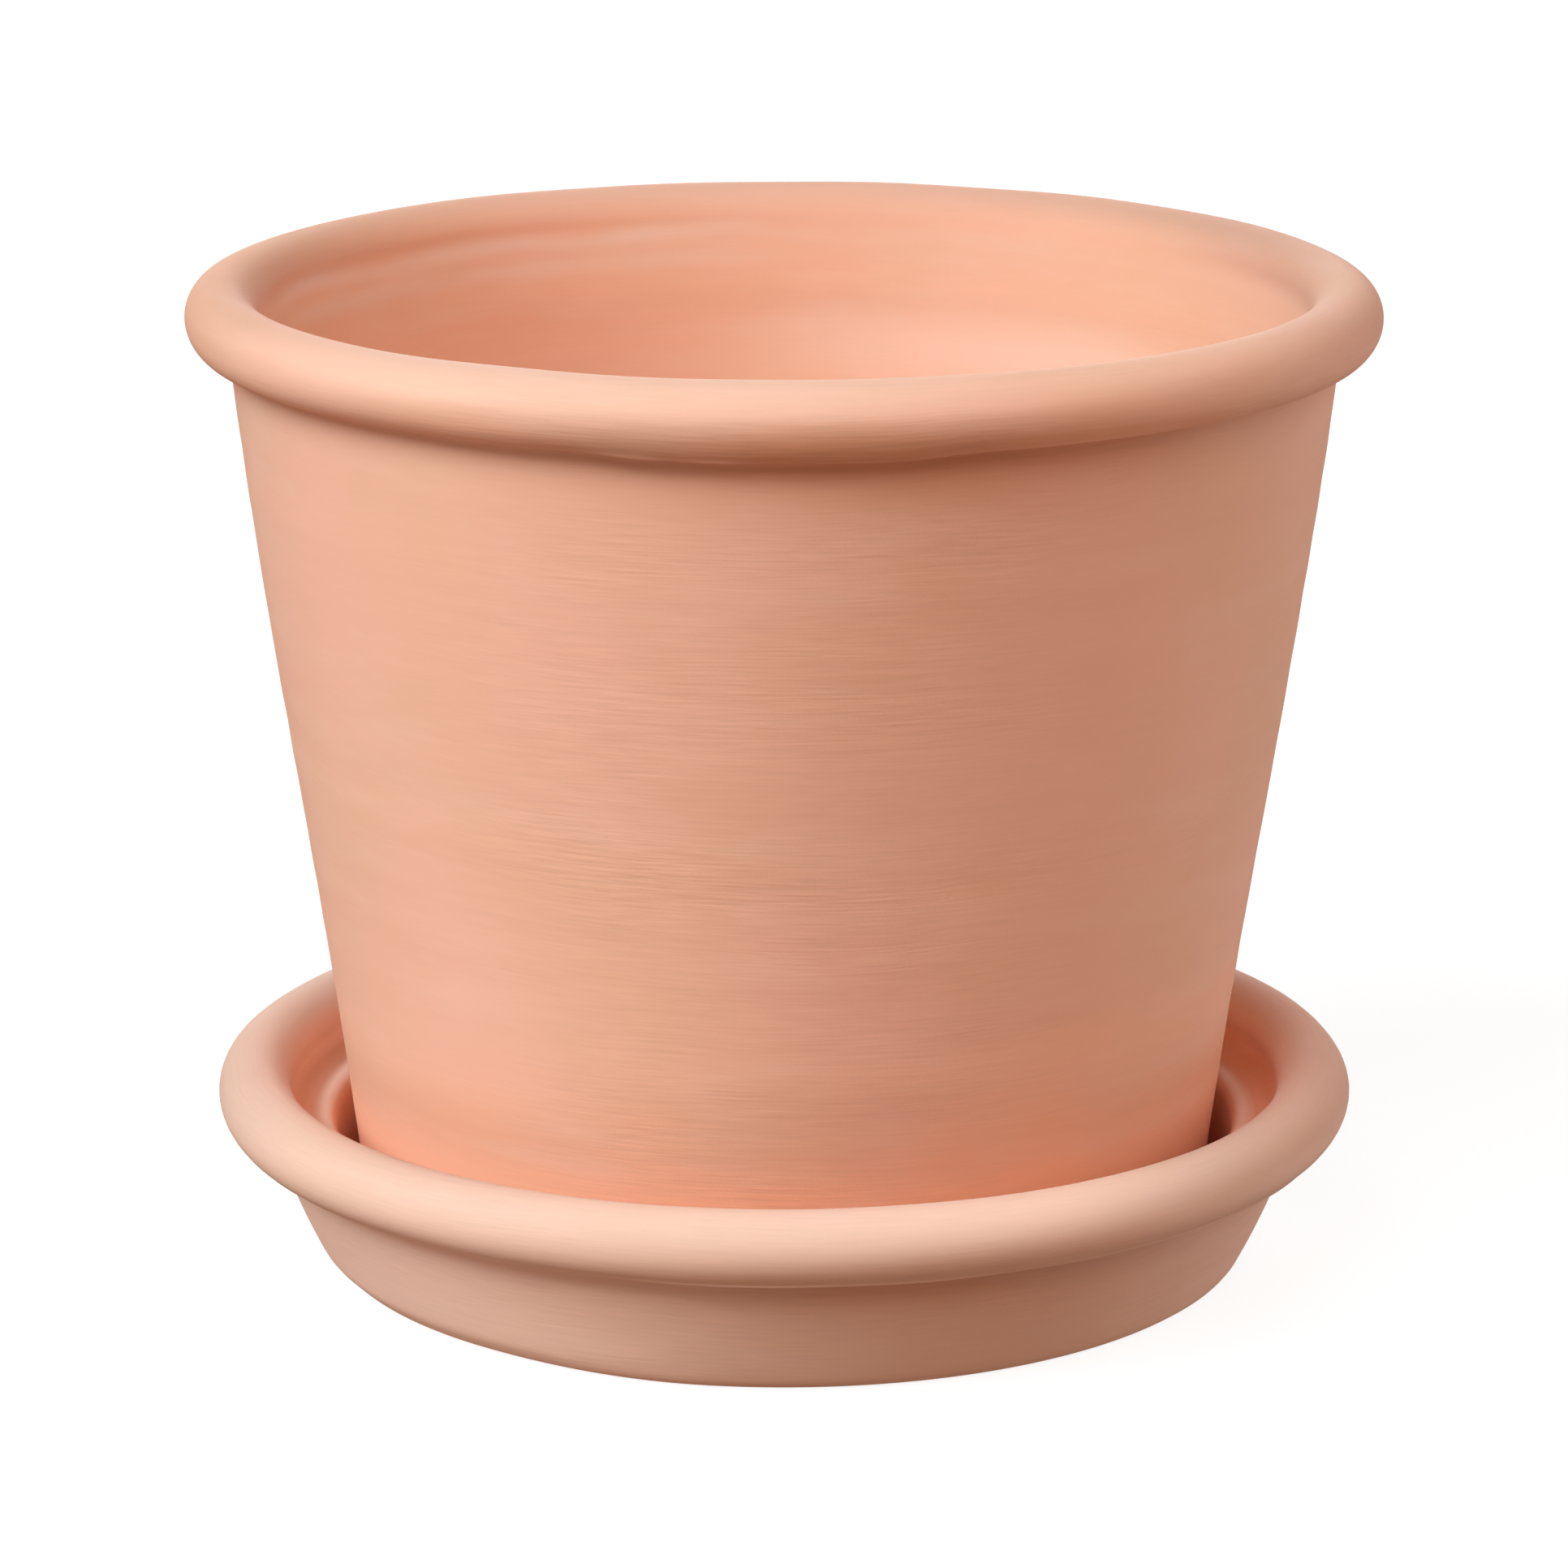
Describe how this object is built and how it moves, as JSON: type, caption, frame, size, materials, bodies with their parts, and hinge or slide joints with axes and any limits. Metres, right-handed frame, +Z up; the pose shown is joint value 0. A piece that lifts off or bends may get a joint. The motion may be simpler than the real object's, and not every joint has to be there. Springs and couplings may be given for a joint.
{
  "type": "plant pot with saucer",
  "caption": "Tapered round terracotta plant pot with a rolled rim and a drainage hole, standing in a shallow rolled-rim saucer that catches the water.",
  "frame": {"origin": "on the ground, under the centre of the saucer", "axes": "+Z up along the pot's own axis, out of its mouth; X and Y are free, because the pot and its saucer are round"},
  "size_m": [0.18, 0.18, 0.1524],
  "materials": {
    "pot_clay": "unglazed terracotta, matt, with fine turned lines and soft pale bloom",
    "saucer_clay": "unglazed terracotta, matt and a little paler than the pot"
  },
  "bodies": {
    "saucer": {"saucer": "saucer_clay"},
    "pot": {"pot": "pot_clay"}
  },
  "joints": [
    {"name": "pot_lift", "type": "slide", "parent": "saucer", "child": "pot", "axis": [0, 0, 1], "range_m": [0, 0.06]}
  ]
}
